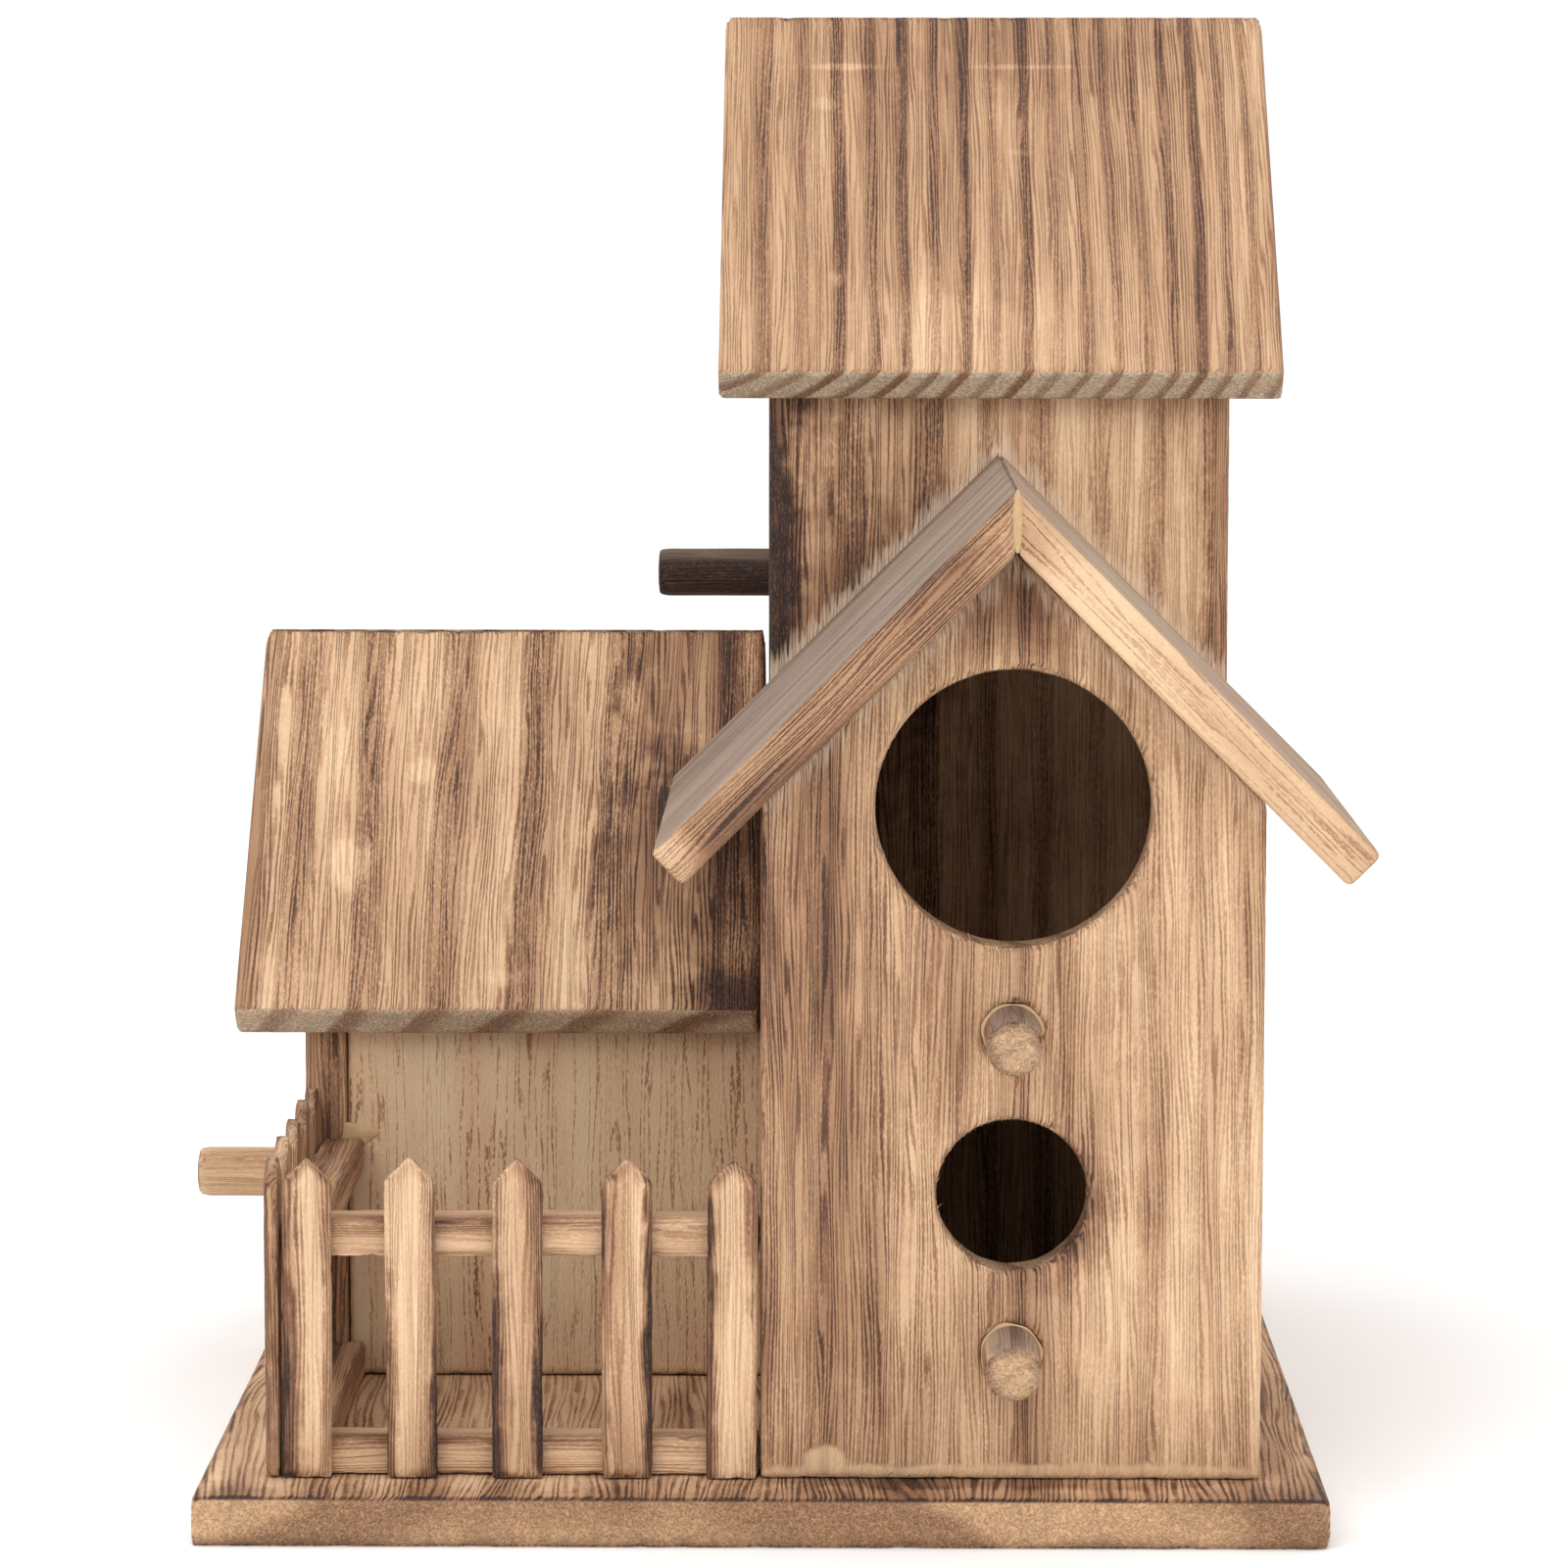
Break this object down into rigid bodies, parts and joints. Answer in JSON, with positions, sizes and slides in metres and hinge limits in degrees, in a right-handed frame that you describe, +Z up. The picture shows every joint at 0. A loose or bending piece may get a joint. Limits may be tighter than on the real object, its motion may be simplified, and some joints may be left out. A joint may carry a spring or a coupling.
{
  "type": "birdhouse",
  "caption": "Scorched wooden birdhouse: gabled front house, taller tower behind, low side wing, round doorways with perches, and a picket fence on a base board.",
  "frame": {"origin": "centre of the base board's underside", "axes": "+Z up, -Y is the front with the two doorways, -X is the side with the wing"},
  "size_m": [0.2345, 0.26, 0.2846],
  "materials": {
    "scorched_wood": "torch-scorched and brushed, unvarnished",
    "plain_wood": "planed, unscorched",
    "perch_wood": "lightly scorched dowel",
    "charred_wood": "charred dowel",
    "steel": "zinc-plated"
  },
  "bodies": {
    "house": {"back_brads": "steel", "base_board": "scorched_wood", "base_brads": "steel", "front_house_left_wall": "scorched_wood", "front_house_right_wall": "scorched_wood", "front_picket_1": "scorched_wood", "front_picket_2": "scorched_wood", "front_picket_3": "scorched_wood", "front_picket_4": "scorched_wood", "front_picket_5": "scorched_wood", "front_wall": "scorched_wood", "gable_roof_left": "scorched_wood", "gable_roof_right": "scorched_wood", "inner_floor": "plain_wood", "lower_front_perch": "perch_wood", "lower_front_rail": "scorched_wood", "lower_side_rail": "scorched_wood", "side_picket_1": "scorched_wood", "side_picket_2": "scorched_wood", "side_picket_3": "scorched_wood", "side_picket_4": "scorched_wood", "side_picket_5": "scorched_wood", "tower_back_wall": "scorched_wood", "tower_cover_screw": "steel", "tower_front_wall": "scorched_wood", "tower_left_wall": "scorched_wood", "tower_perch": "charred_wood", "tower_right_wall": "scorched_wood", "tower_roof_back": "scorched_wood", "tower_roof_front": "scorched_wood", "upper_front_perch": "perch_wood", "upper_front_rail": "scorched_wood", "upper_side_rail": "scorched_wood", "wing_back_wall": "scorched_wood", "wing_cover_screw": "steel", "wing_front_wall": "plain_wood", "wing_left_wall": "scorched_wood", "wing_perch": "perch_wood", "wing_roof_back": "scorched_wood", "wing_roof_front": "scorched_wood"},
    "tower_cleanout_cover": {"tower_cleanout_cover": "scorched_wood"},
    "wing_cleanout_cover": {"wing_cleanout_cover": "scorched_wood"}
  },
  "joints": [
    {"name": "tower_cover_swing", "type": "hinge", "parent": "house", "child": "tower_cleanout_cover", "pos_m": [0.0465, 0.1193, 0.07068], "axis": [0, 1, 0], "range_deg": [0, 90]},
    {"name": "wing_cover_swing", "type": "hinge", "parent": "house", "child": "wing_cleanout_cover", "pos_m": [-0.0425, 0.0923, 0.05384], "axis": [0, 1, 0], "range_deg": [0, 90]}
  ]
}
